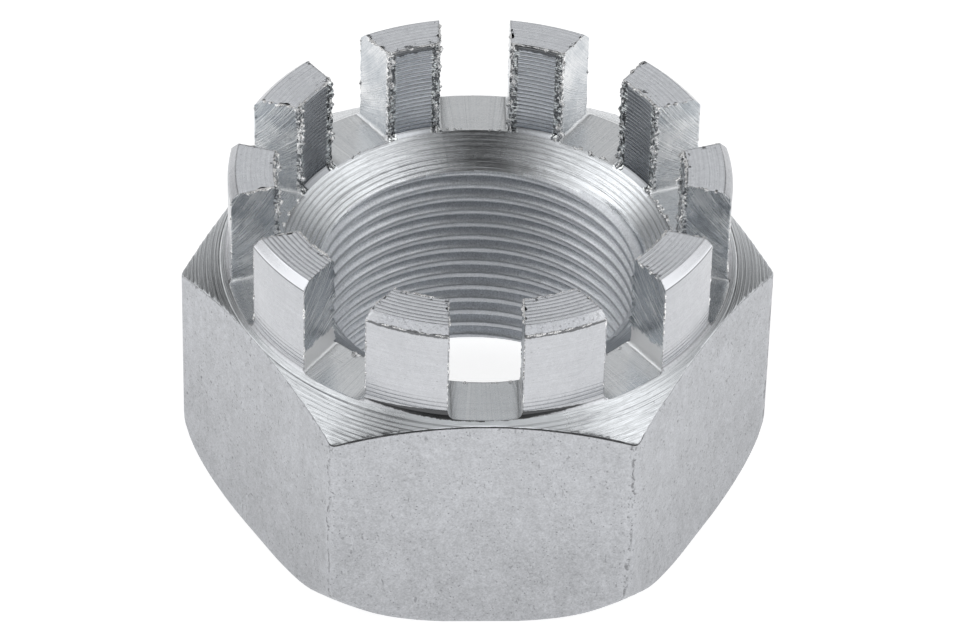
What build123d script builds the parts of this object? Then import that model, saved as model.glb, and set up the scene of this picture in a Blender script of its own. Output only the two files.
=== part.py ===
"""A castle nut: a hexagonal body under a round crown that is cut by ten slots for a split pin."""
import os
from math import cos, radians, sin, sqrt, tan

from build123d import *

# The thread, M30 x 1.5. The bore is left at its minor diameter.
thread_diameter = 30.0
thread_pitch = 1.5
minor_diameter_factor = 1.0825

# The hexagon has its corners on the X axis and two of its flats facing along Y.
across_flats = 46.0
upright_edge_round = 0.8
top_chamfer_slope = 32.0
bottom_corner_radius = 5.0
bottom_corner_inset = 3.2

# Heights are above the bearing face.
nut_height = 33.0
crown_base_height = 23.5
slot_depth = 9.7

# The crown is a turned ring with bevelled rims.
crown_diameter = 44.5
crown_outer_bevel = 0.7
crown_inner_bevel = 0.25
counterbore_diameter = 36.0
counterbore_depth = 9.4
countersink_slope = 33.0

# The thread's lead-in at the bearing face.
lead_in_diameter = 32.4
lead_in_slope = 32.0

# The slots are milled through the crown, with a round along both sides of the floor.
slot_count = 10
slot_width = 6.4
slot_floor_round = 0.7
cutter_overrun = 2.0

# Worked out from the sizes above.
flat_distance = across_flats / 2
corner_distance = (flat_distance - upright_edge_round) / cos(radians(30)) + upright_edge_round
blank_radius = corner_distance + cutter_overrun
bearing_radius = corner_distance - bottom_corner_inset
rounding_height = sqrt(bottom_corner_radius**2 - (bottom_corner_radius - bottom_corner_inset) ** 2)
crown_radius = crown_diameter / 2
chamfer_foot_height = crown_base_height - (blank_radius - crown_radius) * tan(radians(top_chamfer_slope))
bore_radius = (thread_diameter - minor_diameter_factor * thread_pitch) / 2
counterbore_radius = counterbore_diameter / 2
counterbore_floor_height = nut_height - counterbore_depth
countersink_drop = (counterbore_radius - bore_radius) * tan(radians(countersink_slope))
lead_in_radius = lead_in_diameter / 2
lead_in_height = (lead_in_radius - bore_radius) * tan(radians(lead_in_slope))
slot_floor_height = nut_height - slot_depth

with BuildPart() as castle_nut:
    # The turned blank: half of its section, up the outside and back down through the bore.
    with BuildSketch(Plane.XZ):
        with BuildLine():
            Line((lead_in_radius, 0), (bearing_radius, 0))
            RadiusArc((bearing_radius, 0), (corner_distance, rounding_height), -bottom_corner_radius)
            Polyline(
                (corner_distance, rounding_height),
                (blank_radius, rounding_height),
                (blank_radius, chamfer_foot_height),
                (crown_radius, crown_base_height),
                (crown_radius, nut_height - crown_outer_bevel),
                (crown_radius - crown_outer_bevel, nut_height),
                (counterbore_radius + crown_inner_bevel, nut_height),
                (counterbore_radius, nut_height - crown_inner_bevel),
                (counterbore_radius, counterbore_floor_height),
                (bore_radius, counterbore_floor_height - countersink_drop),
                (bore_radius, lead_in_height),
                (lead_in_radius, 0),
            )
        make_face()
    revolve(axis=Axis.Z)

    # The six flats meet the turned cone and the rounded foot in arcs.
    with BuildSketch(Plane.XY):
        RegularPolygon(flat_distance, 6, major_radius=False)
        fillet(vertices(), upright_edge_round)
    extrude(amount=nut_height, mode=Mode.INTERSECT)

    # The slots run from the axis out through the crown, the first over the middle of a flat.
    slot_turns = [radians(index * 360 / slot_count - 90) for index in range(slot_count)]
    slot_planes = [
        Plane((0, 0, slot_floor_height), x_dir=(-sin(turn), cos(turn), 0), z_dir=(cos(turn), sin(turn), 0))
        for turn in slot_turns
    ]
    with BuildSketch(*slot_planes):
        Rectangle(slot_width, slot_depth + cutter_overrun, align=(Align.CENTER, Align.MIN))
        fillet(vertices().group_by(Axis.Y)[0], slot_floor_round)
    extrude(amount=blank_radius, mode=Mode.SUBTRACT)

castle_nut.part.label = "castle_nut"

os.makedirs("parts", exist_ok=True)
export_step(castle_nut.part, "parts/castle_nut.step")

if __name__ == "__main__":
    print("volume", round(castle_nut.part.volume), "mm3")
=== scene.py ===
"""A castle nut in bright zinc plate: turned, milled and tapped steel in full detail, on a white table."""
import math

import bmesh
import bpy
import numpy as np
from mathutils import Matrix, Vector, noise


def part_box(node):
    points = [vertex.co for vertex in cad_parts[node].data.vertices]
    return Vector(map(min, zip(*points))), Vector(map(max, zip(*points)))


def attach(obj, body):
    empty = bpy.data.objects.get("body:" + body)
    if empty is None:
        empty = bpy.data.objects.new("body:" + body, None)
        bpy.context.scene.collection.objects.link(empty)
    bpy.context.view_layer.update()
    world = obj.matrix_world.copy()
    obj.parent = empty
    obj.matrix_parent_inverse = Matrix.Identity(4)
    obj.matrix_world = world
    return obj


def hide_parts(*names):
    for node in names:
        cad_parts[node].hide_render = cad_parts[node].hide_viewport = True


MM = 0.001

# The nut's sizes in millimetres and degrees. Heights are above the bearing face.
CORNER_ROUND = 0.8
FOOT_RADIUS = 5.0
FOOT_INSET = 3.2
CONE_SLOPE = 32.0
CROWN_BASE = 23.5
CROWN_RADIUS = 22.25
OUTER_BEVEL = 0.7
INNER_BEVEL = 0.25
WELL_RADIUS = 18.0
WELL_FLOOR = 23.6
SINK_SLOPE = 33.0
SINK_STEEPER = 8.5
SLOT_COUNT = 10
SLOT_HALF = 3.2
SLOT_FLOOR = 23.3
SLOT_ROUND = 0.4
THREAD_PITCH = 1.5
MAJOR_RADIUS = 15.0
MINOR_RADIUS = 14.188
LEAD_RADIUS = 16.2
LEAD_SLOPE = 32.0
THREAD_START = 0.683

# The thread's form: shares of a pitch and the groove's depth there. Crest, flank, root and flank.
THREAD_FORM = [
    (0.0, 0.0),
    (0.1, 0.0),
    (0.15, 0.03),
    (0.2, 0.13),
    (0.27, 0.36),
    (0.43, 0.95),
    (0.57, 0.97),
    (0.715, 0.5),
    (0.86, 0.04),
    (0.9, 0.0),
]

# The marks that the tools left, in millimetres, and the side where the cone's are faint, in degrees.
CONE_FEED = 0.33
CONE_MARK = 0.014
FAINT_SIDE = -48.0
SINK_FEED = 0.42
SINK_MARK = 0.019
SMOOTH_RING_END = 23.0
RING_GROOVE = 23.07
RING_GROOVE_HALF = 0.07
RING_GROOVE_DEPTH = 0.05
SIDE_FEED = 0.42
TOP_FEED = 0.43
BORE_FEED = 0.43
THREAD_FEED = 0.21
FACE_FEED = 0.5

# The arc in front where the cone's marks are crisp: the degrees over which they start and end.
CRISP_START = (-123.0, -116.0)
CRISP_END = (-74.0, -64.0)

# The slot cutter's radius, which curves the marks on the slot walls.
CUTTER_RADIUS = 20.0

# The small cove at the crown's foot, turned deeper towards the front left.
COVE_MEAN = 0.24
COVE_SWING = 0.16
COVE_SIDE = -118.0

# Points of neighbouring surfaces nearer than this are one point.
WELD = 0.0005
# Rows nearer than this to the edge of their surface end on it.
SNAP = 0.02

# Softened edges and the burrs along the slots, in millimetres and degrees.
SHARP_ANGLE = 38.0
WORN_ANGLE = 0.6 * SHARP_ANGLE
SOFTENINGS = 2
SOFTENING_SHARE = 0.4
BURR_REACH = 0.55
BURR_HEIGHT = 0.3
EDGE_REACH = 0.3
EDGE_HEIGHT = 0.12

# The strings of torn metal on the edges, in millimetres.
BURR_STEP = 0.075
BURR_SIDES = 10
INNER_BURR = 0.32
OUTER_BURR = 0.1
TOP_BURR = 0.2
LIP_BURR = 0.22

# How far those strings lie in the steel, in millimetres: behind a wall, inside an edge, under a floor.
BURR_BEHIND = 0.06
BURR_INSIDE = 0.12
BURR_UNDER_FLOOR = 0.1

# The two teeth at the front, whose bevels are left rough.
FRONT_TEETH = (0, 9)

# The front slots, whose inner edges are less torn, and how coarse their burrs are.
CLEANER_SLOTS = {0: 0.55, 1: 0.2, 9: 0.2}

# Where torn patches on inner edges fade in from the front, which is at -1, to the back, at 1.
TORN_SIDE = (-0.45, -0.3)

# How far to one side the dark lines on the hexagon's edges lie, in millimetres.
CORNER_SHIFT = 0.3

# Pits in the plating: cells to a millimetre and the pits' size in millimetres.
PITS = [(1.3, 0.12), (2.9, 0.075)]

# The radius that parts the countersink's looks from the cone's, in millimetres.
SINK_SIDE = 19.0

# How light each kind of place is against its finish's own colour. The worn level also gives painted
# highlights, the dull level painted shade, and the black level painted shadows too.
DARK = 0.62
LIGHT = 1.3
WORN_AND_HIGHLIGHT = 1.4
DULL_AND_SHADE = 0.5
BLACK = 0.12

# The camera, in millimetres and degrees.
CAMERA_LENS = 222.93
CAMERA_DISTANCE = 529.0
CAMERA_ELEVATION = 40.4169
CAMERA_AZIMUTH = -2.3658
CAMERA_ROLL = 1.4253
CAMERA_RIGHT = 0.1293
CAMERA_DOWN = 5.9745

# How finely each surface is divided.
FLOOR_STEPS = 8
TOOTH_STEPS = 20
WALL_STEPS = 42
ACROSS_STEPS = 22
FLAT_ROWS = 24
FOOT_ROWS = 8
FACE_ROWS = 5
# Rows on each of a tool's marks, in shares of its feed.
MARK_STEPS = np.array([0.08, 0.28, 0.5, 0.72, 0.92, 1.0])
# Columns at each corner of the hexagon, in degrees from it.
CORNER_COLUMNS = [-0.95, -0.45, 0.0, 0.45, 0.95]

# The studio: the table's reach in metres and its glow, the horizon's height and glow, and for each
# soft light its direction and breadth in degrees and its power.
FLOOR_REACH = 3.0
FLOOR_GLOW = 0.8
HORIZON_TOP = 0.55
HORIZON_GLOW = 0.95
STUDIO_LIGHTS = [
    (-12.0, 32.0, 22.0, 1.1),
    (190.0, 32.0, 22.0, 1.1),
    (-10.0, 58.0, 13.0, 1.5),
    (190.0, 58.0, 13.0, 1.25),
    (90.0, 50.0, 18.0, 0.88),
    (158.0, 43.0, 10.0, 0.95),
    (26.0, 36.0, 10.0, 0.52),
    (280.0, 16.0, 22.0, 0.4),
]

# The inputs and outputs of shared effects that are vectors. The others are plain values.
VECTOR_SOCKETS = ("Place", "Turn")


def tan_deg(angle):
    """Tangent of an angle in degrees."""
    return math.tan(math.radians(angle))


def flat_distance():
    """Half the width across flats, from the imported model."""
    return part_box("castle_nut")[1].y / MM


def corner_distance():
    """From the axis to a rounded corner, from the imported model."""
    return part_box("castle_nut")[1].x / MM


def nut_height():
    """The whole height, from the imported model."""
    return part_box("castle_nut")[1].z / MM


def sink_rim():
    """Radius at which the slot floors break into the countersink."""
    return WELL_RADIUS - (WELL_FLOOR - SLOT_FLOOR) / tan_deg(SINK_SLOPE)


def cone_rim():
    """Radius at which the slot floors break out into the cone."""
    return CROWN_RADIUS + (CROWN_BASE - SLOT_FLOOR) / tan_deg(CONE_SLOPE)


def hexagon_radius(angle):
    """Distance from the axis to the side of the hexagon, corners rounded, at each angle."""
    flat = flat_distance()
    off = np.abs((angle + math.pi / 6) % (math.pi / 3) - math.pi / 6)
    straight = flat / np.cos(math.pi / 6 - off)
    middle = (flat - CORNER_ROUND) / math.cos(math.pi / 6)
    under = np.maximum(CORNER_ROUND**2 - (middle * np.sin(off)) ** 2, 0.0)
    turned = middle * np.cos(off) + np.sqrt(under)
    tangent = math.atan2(CORNER_ROUND / 2, middle + CORNER_ROUND * math.cos(math.pi / 6))
    return np.where(off < tangent, turned, straight)


def outer_radius(z, cove=0.0):
    """Outline of the crown's outer side, from the slot floor up to the rim, coved at its foot."""
    cone = CROWN_RADIUS + np.maximum(CROWN_BASE - z, 0.0) / tan_deg(CONE_SLOPE)
    rise = cove * tan_deg((90.0 - CONE_SLOPE) / 2)
    below = np.maximum(CROWN_BASE + rise - z, 0.0)
    bow = CROWN_RADIUS + cove - np.sqrt(np.maximum(cove**2 - below**2, 0.0))
    lowest = CROWN_BASE - rise * math.sin(math.radians(CONE_SLOPE))
    coved = np.where((below > 0.0) & (z > lowest), bow, cone)
    return coved - np.maximum(z - (nut_height() - OUTER_BEVEL), 0.0)


def tooth_cove(index):
    """Radius of the cove at the foot of a tooth."""
    turn = slot_angle(index + 0.5) - math.radians(COVE_SIDE)
    return COVE_MEAN + COVE_SWING * math.cos(turn)


def inner_radius(z):
    """Outline of the crown's inner side, from the countersink at the slot floor up to the rim."""
    sink = WELL_RADIUS - np.maximum(WELL_FLOOR - z, 0.0) / tan_deg(SINK_SLOPE)
    return sink + np.maximum(z - (nut_height() - INNER_BEVEL), 0.0)


def slot_half_width(z):
    """Half the slot's width at a height, narrower where the floor is rounded into the walls."""
    drop = np.clip((SLOT_FLOOR + SLOT_ROUND - z) / SLOT_ROUND, 0.0, 1.0)
    return SLOT_HALF - SLOT_ROUND + SLOT_ROUND * np.sqrt(1.0 - drop**2)


def scallops(distance, feed):
    """Depth of the marks of a round-nosed tool, from 0 on the ridges to 1 in the hollows."""
    return 1.0 - np.abs(2.0 * ((distance / feed) % 1.0) - 1.0) ** 2


def polar(radius, angle, z):
    """Points from a radius, an angle and a height, as an array of x, y, z."""
    radius, angle, z = np.broadcast_arrays(radius, angle, z)
    return np.stack([radius * np.cos(angle), radius * np.sin(angle), z], axis=-1)


def eased(count, grip):
    """Steps from 0 to 1, closer together at both ends."""
    even = np.linspace(0.0, 1.0, count + 1)
    return (1.0 - grip) * even + grip * (even * even * (3.0 - 2.0 * even))


def slot_angle(index):
    """Direction of a slot, the first over the middle of the flat that faces -Y."""
    return -math.pi / 2 + index * 2 * math.pi / SLOT_COUNT


def crown_levels():
    """Heights of the rows up the crown's walls, closer at the floor round and at the rims."""
    top = nut_height()
    foot = [SLOT_FLOOR, SLOT_FLOOR + 0.1, CROWN_BASE, WELL_FLOOR, SLOT_FLOOR + SLOT_ROUND]
    wall = np.linspace(SLOT_FLOOR + SLOT_ROUND, top - OUTER_BEVEL, WALL_STEPS + 1)[1:]
    rim = [top - OUTER_BEVEL * part for part in (0.86, 0.68, 0.5)]
    rim += [top - INNER_BEVEL * part for part in (1.0, 0.66, 0.33, 0.0)]
    return np.array(foot + list(wall) + rim)


def across_parts():
    """Shares of the way across the crown's ring, from its inner side to its outer side."""
    return eased(ACROSS_STEPS, 0.75)


def ring_radius(z, part, cove=0.0):
    """Radius at a height and a share of the way across the crown's ring."""
    return inner_radius(z) + part * (outer_radius(z, cove) - inner_radius(z))


def tooth_angles(index, z, radius):
    """Angles of a tooth's columns at a height and a radius, from one slot's wall to the next one's."""
    reach = np.arcsin(slot_half_width(z) / radius)
    start = slot_angle(index) + reach
    end = slot_angle(index + 1) - reach
    return start[:, None] + eased(TOOTH_STEPS, 0.8) * (end - start)[:, None]


def tooth_patch(index, radius, z):
    """A patch over the width of one tooth, with a row at each radius and height."""
    return polar(radius[:, None], tooth_angles(index, z, radius), z[:, None])


def tooth_outside(index):
    """The outer side of one tooth, from the cone up to its bevel's top."""
    levels = crown_levels()
    return tooth_patch(index, outer_radius(levels, tooth_cove(index)), levels)


def tooth_top(index):
    """The flat top of one tooth."""
    z = np.full(ACROSS_STEPS + 1, nut_height())
    return tooth_patch(index, ring_radius(z, across_parts()[::-1]), z)


def tooth_inside(index):
    """The inner side of one tooth, from its top down to the countersink."""
    levels = crown_levels()[::-1]
    return tooth_patch(index, inner_radius(levels), levels)


def slot_section():
    """Offsets and heights round a slot's section, down a wall, over the floor and up the other wall."""
    levels = crown_levels()
    half = slot_half_width(levels)
    floor = np.linspace(-half[0], half[0], FLOOR_STEPS + 1)[1:-1]
    offset = np.concatenate([-half[::-1], floor, half])
    z = np.concatenate([levels[::-1], np.full(len(floor), SLOT_FLOOR), levels])
    return offset[:, None], z[:, None]


def slot_patch(index):
    """One slot's skin: both walls and the floor, from the bore out to the cone."""
    offset, z = slot_section()
    cove = np.where(offset < 0.0, tooth_cove(index - 1), tooth_cove(index))
    radius = ring_radius(z, across_parts(), cove)
    return polar(radius, slot_angle(index) + np.arcsin(offset / radius), z)


def ring_angles(radius):
    """Angles of all the columns round the nut at the height of the slot floors."""
    level = np.array([SLOT_FLOOR])
    half = slot_half_width(level)[0]
    floor = np.arcsin(np.linspace(-half, half, FLOOR_STEPS + 1) / radius)
    found = []
    for index in range(SLOT_COUNT):
        found.extend(slot_angle(index) + floor)
        found.extend(tooth_angles(index, level, radius)[0, 1:-1])
    return np.array(found)


def side_angles(start):
    """The same columns lower down, gathered so that some of them lie on the hexagon's corners."""
    given, wanted = [start[0]], [start[0]]
    for corner in np.radians(np.arange(-60, 300, 60)):
        centre = int(np.argmin(np.abs(start - corner)))
        given.extend(start[centre - 2 : centre + 3])
        wanted.extend(corner + np.radians(CORNER_COLUMNS))
    given.append(start[0] + 2 * math.pi)
    wanted.append(start[0] + 2 * math.pi)
    return np.interp(start, given, wanted)


def marked_rows(rows, feed, limit):
    """Adds the radii of the rows over each tool mark that starts before a limit, outwards or inwards."""
    while (limit - rows[-1]) * feed > 0.0:
        rows.extend(rows[-1] + feed * MARK_STEPS)
    return np.array(rows)


def cone_rows():
    """Radii of the rows on the cone: a smooth ring, a fine groove and then the tool's marks."""
    ring = list(np.linspace(cone_rim(), SMOOTH_RING_END, 6))
    groove = [RING_GROOVE - RING_GROOVE_HALF * 0.5, RING_GROOVE, RING_GROOVE + RING_GROOVE_HALF]
    return marked_rows(ring + groove, CONE_FEED, corner_distance())


def cone_point(angle, radius):
    """Point of the grooved cone at an angle and a radius."""
    start = RING_GROOVE + RING_GROOVE_HALF
    turn = np.floor((radius - start) / CONE_FEED + 1e-6)
    faint = np.maximum(np.cos(angle - math.radians(FAINT_SIDE)), 0.0) ** 6
    uneven = 1.0 + 0.35 * np.sin(turn * 2.3) + 0.2 * np.sin(turn * 4.1 + 3.0 * angle)
    uneven = uneven * (1.0 - 0.6 * faint) * (1.0 - 0.55 * np.cos(angle) ** 4)
    mark = CONE_MARK * uneven * scallops(radius - start + 1e-9, CONE_FEED) * (radius > start)
    groove = np.clip(1.0 - np.abs(radius - RING_GROOVE) / RING_GROOVE_HALF, 0.0, 1.0)
    cut = mark + RING_GROOVE_DEPTH * groove * (1.0 - faint)
    slope = math.radians(CONE_SLOPE)
    height = CROWN_BASE - (radius - CROWN_RADIUS) * math.tan(slope)
    return polar(radius - cut * math.sin(slope), angle, height - cut * math.cos(slope))


def cone_patch(start, side):
    """The cone under the crown, cut off by the flats in arcs."""
    rows = cone_rows()[:, None]
    limit = hexagon_radius(side)
    blend = np.clip((rows - rows[0]) / (flat_distance() - rows[0]), 0.0, 1.0)
    radius = np.where(rows > limit - SNAP, limit, rows)
    return cone_point(start + blend * (side - start), radius)


def foot_limits(side):
    """Where the rounded foot starts and ends under each column: radii, and turns round its arc."""
    limit = hexagon_radius(side)
    start = np.minimum(corner_distance() - FOOT_INSET, limit)
    centre = corner_distance() - FOOT_RADIUS
    first = np.arcsin(np.clip((start - centre) / FOOT_RADIUS, -1.0, 1.0))
    last = np.arcsin(np.clip((limit - centre) / FOOT_RADIUS, -1.0, 1.0))
    return start, limit, first, last


def foot_height(turn):
    """Height of the rounded foot at a turn round its arc."""
    rise = math.sqrt(FOOT_RADIUS**2 - (FOOT_RADIUS - FOOT_INSET) ** 2)
    return np.maximum(rise - FOOT_RADIUS * np.cos(turn), 0.0)


def flat_patch(side):
    """The six flats, from the arcs of the cone down to the rounded foot."""
    _, limit, first, last = foot_limits(side)
    top = cone_point(side, limit)
    low = np.where(last > first + 1e-9, foot_height(last), 0.0)
    share = eased(FLAT_ROWS, 0.6)[:, None]
    radius = np.where(share > 0.0, limit, np.hypot(top[:, 0], top[:, 1]))
    return polar(radius, side, top[:, 2] + share * (low - top[:, 2]))


def foot_patch(side):
    """The rounded foot under the corners."""
    _, limit, first, last = foot_limits(side)
    share = np.linspace(1.0, 0.0, FOOT_ROWS + 1)[:, None]
    turn = first + share * (last - first)
    plain = last <= first + 1e-9
    radius = np.where(plain, limit, corner_distance() - FOOT_RADIUS + FOOT_RADIUS * np.sin(turn))
    return polar(radius, side, np.where(plain | (share == 0.0), 0.0, foot_height(turn)))


def bearing_patch(side, inner):
    """The bearing face, flat from the foot in to the lead-in. Its columns turn back to the bore's."""
    start = foot_limits(side)[0]
    share = eased(FACE_ROWS, 0.5)[:-1, None]
    return polar(start + share * (LEAD_RADIUS - start), side + share * (inner - side), 0.0)


def sink_fall(angle):
    """Fall of the countersink for each millimetre inwards from its edge, steeper towards the front."""
    front = np.clip((np.cos(angle + math.pi / 2) - 0.35) / 0.45, 0.0, 1.0)
    return np.tan(np.radians(SINK_SLOPE + SINK_STEEPER * front * front * (3.0 - 2.0 * front)))


def sink_point(angle, radius):
    """Point of the grooved countersink at an angle and a radius."""
    inwards = sink_rim() - radius
    turn = np.floor(inwards / SINK_FEED + 1e-6)
    uneven = 1.0 + 0.3 * np.sin(turn * 2.9) + 0.2 * np.sin(turn * 5.3 + 2.0 * angle)
    uneven = uneven * (1.0 - 0.65 * np.exp(-(((np.abs(np.cos(angle)) - 0.5) / 0.24) ** 2)))
    cut = SINK_MARK * uneven * scallops(inwards + 1e-9, SINK_FEED)
    slope = math.radians(SINK_SLOPE)
    height = SLOT_FLOOR - inwards * sink_fall(angle)
    return polar(radius + cut * math.sin(slope), angle, height - cut * math.cos(slope))


def sink_rows():
    """Radii of the rows down the countersink, to where the thread starts to cut it."""
    return marked_rows([sink_rim()], -SINK_FEED, MAJOR_RADIUS + 0.2 + SINK_FEED)


def thread_patch(angles):
    """The right-hand thread down to the lead-in, and which of its points are the countersink's."""
    form = np.array(THREAD_FORM)
    top = sink_point(angles, sink_rows()[-1])[:, 2]
    turns = range(-2, math.ceil(top.max() / THREAD_PITCH) + 1)
    shares = np.concatenate([form[:, 0] + turn for turn in turns])[:, None]
    depths = np.tile(form[:, 1], len(turns))[:, None]
    climb = angles / (2 * math.pi) + THREAD_START
    z = (shares + climb) * THREAD_PITCH
    z = np.where(z < SNAP, 0.0, np.where(z > top - SNAP, top, z))
    cut = MINOR_RADIUS + depths * (MAJOR_RADIUS - MINOR_RADIUS)
    sink = sink_rim() - (SLOT_FLOOR - z) / sink_fall(angles)
    lead = LEAD_RADIUS - z / tan_deg(LEAD_SLOPE)
    radius = np.maximum(np.maximum(cut, sink), lead)
    return polar(radius, angles, z), (sink + 0.5 > cut) & (sink > MINOR_RADIUS)


class Shell:
    """Gathers patches of faces, each with its finish, to be welded into one skin."""

    def __init__(self, finishes):
        self.finishes = list(finishes)
        self.points = []
        self.faces = []
        self.slots = []
        self.count = 0

    def add_points(self, points):
        """Keeps a grid of points and returns their numbers in the same layout."""
        numbers = self.count + np.arange(points[..., 0].size).reshape(points.shape[:-1])
        self.points.append(points.reshape(-1, 3))
        self.count += numbers.size
        return numbers

    def add_faces(self, faces, finish):
        """Keeps faces, given as rows of point numbers."""
        faces = faces.reshape(-1, faces.shape[-1]).tolist()
        self.faces.extend(faces)
        self.slots.extend([self.finishes.index(finish)] * len(faces))

    def grid(self, points, finish, chosen=None, other=None):
        """A grid of four-sided faces. Those with only chosen points can have another finish."""
        n = self.add_points(points)
        faces = np.stack([n[:-1, :-1], n[:-1, 1:], n[1:, 1:], n[1:, :-1]], axis=-1)
        if chosen is None:
            self.add_faces(faces, finish)
            return
        picked = chosen[:-1, :-1] & chosen[:-1, 1:] & chosen[1:, 1:] & chosen[1:, :-1]
        self.add_faces(faces[picked], other)
        self.add_faces(faces[~picked], finish)

    def halving(self, fine, coarse, finish):
        """A band of triangles from a row of points to a row with every second one of its columns."""
        f = self.add_points(fine)
        c = self.add_points(coarse)
        left = np.stack([f[:-1:2], f[1::2], c[:-1]], axis=-1)
        middle = np.stack([f[1::2], c[1:], c[:-1]], axis=-1)
        right = np.stack([f[1::2], f[2::2], c[1:]], axis=-1)
        self.add_faces(np.concatenate([left, middle, right]), finish)

    def mesh(self, name):
        """The welded skin as a smooth mesh, in metres, with its faces turned outwards."""
        data = bpy.data.meshes.new(name)
        data.from_pydata((np.concatenate(self.points) * MM).tolist(), [], self.faces)
        data.polygons.foreach_set("material_index", self.slots)
        body = bmesh.new()
        body.from_mesh(data)
        bmesh.ops.remove_doubles(body, verts=body.verts, dist=WELD * MM)
        bmesh.ops.recalc_face_normals(body, faces=body.faces)
        body.to_mesh(data)
        body.free()
        data.polygons.foreach_set("use_smooth", [True] * len(data.polygons))
        return data


def closed(angles):
    """The columns once round, with the first one again at the end."""
    return np.append(angles, angles[0] + 2 * math.pi)


def nut_shell():
    """All the patches of the nut's skin."""
    shell = Shell(NUT_FINISHES)
    start = ring_angles(cone_rim())
    side = closed(side_angles(start))
    bore = closed(ring_angles(sink_rim()))
    coarse = bore[::2]
    for index in range(SLOT_COUNT):
        shell.grid(tooth_outside(index), "turned_side")
        shell.grid(tooth_top(index), "turned_top")
        shell.grid(tooth_inside(index), "bored_well")
        shell.grid(slot_patch(index), "milled_slot")
    shell.grid(cone_patch(closed(start), side), "turned_cone")
    shell.grid(flat_patch(side), "forged_flat")
    shell.grid(foot_patch(side), "forged_flat")
    bearing = bearing_patch(side, bore)
    shell.grid(bearing, "faced_bearing")
    shell.halving(bearing[-1], polar(LEAD_RADIUS, coarse, 0.0), "faced_bearing")
    sink = sink_point(coarse, sink_rows()[:, None])
    shell.halving(sink_point(bore, sink_rim()), sink[1], "turned_cone")
    shell.grid(sink[1:], "turned_cone")
    thread, in_sink = thread_patch(coarse)
    shell.grid(thread, "cut_thread", in_sink, "turned_cone")
    return shell


def soften_edges(body):
    """Takes the sharpness off the machined edges by drawing their points towards their neighbours."""
    limit = math.radians(SHARP_ANGLE)
    above = [edge for edge in body.edges if edge.verts[0].co.z > FOOT_INSET * MM]
    points = {point for edge in above if edge.calc_face_angle() > limit for point in edge.verts}
    for _ in range(SOFTENINGS):
        moved = []
        for point in points:
            around = [edge.other_vert(point).co for edge in point.link_edges]
            moved.append((point, point.co.lerp(sum(around, Vector()) / len(around), SOFTENING_SHARE)))
        for point, place in moved:
            point.co = place


def edge_masks(body):
    """Marks the points on outward edges as worn and those in inward corners for painted shade."""
    worn = body.verts.layers.float.new("worn_edge")
    dull = body.verts.layers.float.new("dull_corner")
    limit = math.radians(WORN_ANGLE)
    for edge in body.edges:
        angle = edge.calc_face_angle_signed()
        if abs(angle) < limit:
            continue
        for point in edge.verts:
            point[worn if angle > 0.0 else dull] = 1.0


def slot_point(index, along, offset, z):
    """Point in a slot's own frame: along the slot, across it and up."""
    turn = slot_angle(index)
    x = along * math.cos(turn) - offset * math.sin(turn)
    y = along * math.sin(turn) + offset * math.cos(turn)
    return x, y, z


def wall_end(radius):
    """How far along a slot its walls reach a radius."""
    return math.sqrt(radius**2 - SLOT_HALF**2)


def crumbs(place, seed):
    """Ragged noise for torn metal, mostly near zero with sudden lumps up to about 1."""
    coarse = noise.noise(place / 0.55 + Vector((seed, 0.0, 0.0)))
    fine = noise.noise(place / 0.21 + Vector((0.0, seed, 0.0)))
    return max(0.0, 0.75 * coarse + 0.6 * fine + 0.12)


def burr_push(place, along, offset, seed):
    """How far torn metal is pushed inwards, and off the wall, at a point near the edges of a slot."""
    inner = math.hypot(along - wall_end(WELL_RADIUS), abs(offset) - SLOT_HALF)
    outer = math.hypot(along - wall_end(CROWN_RADIUS), abs(offset) - SLOT_HALF)
    inwards = aside = 0.0
    if inner < BURR_REACH:
        inwards = (1.0 - inner / BURR_REACH) ** 1.5 * BURR_HEIGHT * crumbs(place, seed)
        aside = inwards * (0.7 + 0.5 * noise.noise(place / 0.3))
    if outer < EDGE_REACH:
        aside += (1.0 - outer / EDGE_REACH) * EDGE_HEIGHT * crumbs(place, seed + 3.0)
    return inwards, aside


def raise_burrs(body):
    """Throws up the torn burrs that the slot cutter left along the edges of every slot."""
    pitch = 2 * math.pi / SLOT_COUNT
    for point in body.verts:
        place = point.co / MM
        x, y, z = place
        if z < SLOT_FLOOR or not MAJOR_RADIUS <= math.hypot(x, y) <= CROWN_RADIUS + 0.5:
            continue
        index = round((math.atan2(y, x) - slot_angle(0)) / pitch)
        turn = slot_angle(index)
        along = x * math.cos(turn) + y * math.sin(turn)
        offset = y * math.cos(turn) - x * math.sin(turn)
        side = math.copysign(1.0, offset)
        inwards, aside = burr_push(place, along, offset, 7.0 * (index % SLOT_COUNT) + side)
        if inwards or aside:
            point.co = Vector(slot_point(index, along - inwards, offset - side * aside, z)) * MM


def new_object(data):
    """Puts a mesh or a camera into the scene, as an object of the same name."""
    item = bpy.data.objects.new(data.name, data)
    bpy.context.scene.collection.objects.link(item)
    return item


def new_piece(data, finishes):
    """Puts a skin with its finishes into the scene."""
    piece = new_object(data)
    for make_finish in finishes.values():
        data.materials.append(make_finish())
    return piece


def build_nut():
    """The whole nut as one piece, in place of the plain solid."""
    data = nut_shell().mesh("castle_nut_steel")
    body = bmesh.new()
    body.from_mesh(data)
    soften_edges(body)
    edge_masks(body)
    raise_burrs(body)
    body.to_mesh(data)
    body.free()
    data.set_sharp_from_angle(angle=math.radians(SHARP_ANGLE))
    nut = new_piece(data, NUT_FINISHES)
    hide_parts("castle_nut")
    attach(nut, "root")


def burr_thickness(place, seed, size):
    """Thickness of a string of torn metal at a point: crumbs with gaps between them."""
    point = Vector(place)
    shift = Vector((seed * 3.1, seed * 1.7, seed * 0.9))
    patches = noise.noise(point / 1.6 + shift)
    lumps = noise.noise(point / 0.48 + shift)
    grit = noise.noise(point / 0.2 + shift)
    return size * max(0.05, 0.3 + 1.2 * patches + 1.6 * lumps + 0.4 * grit)


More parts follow.
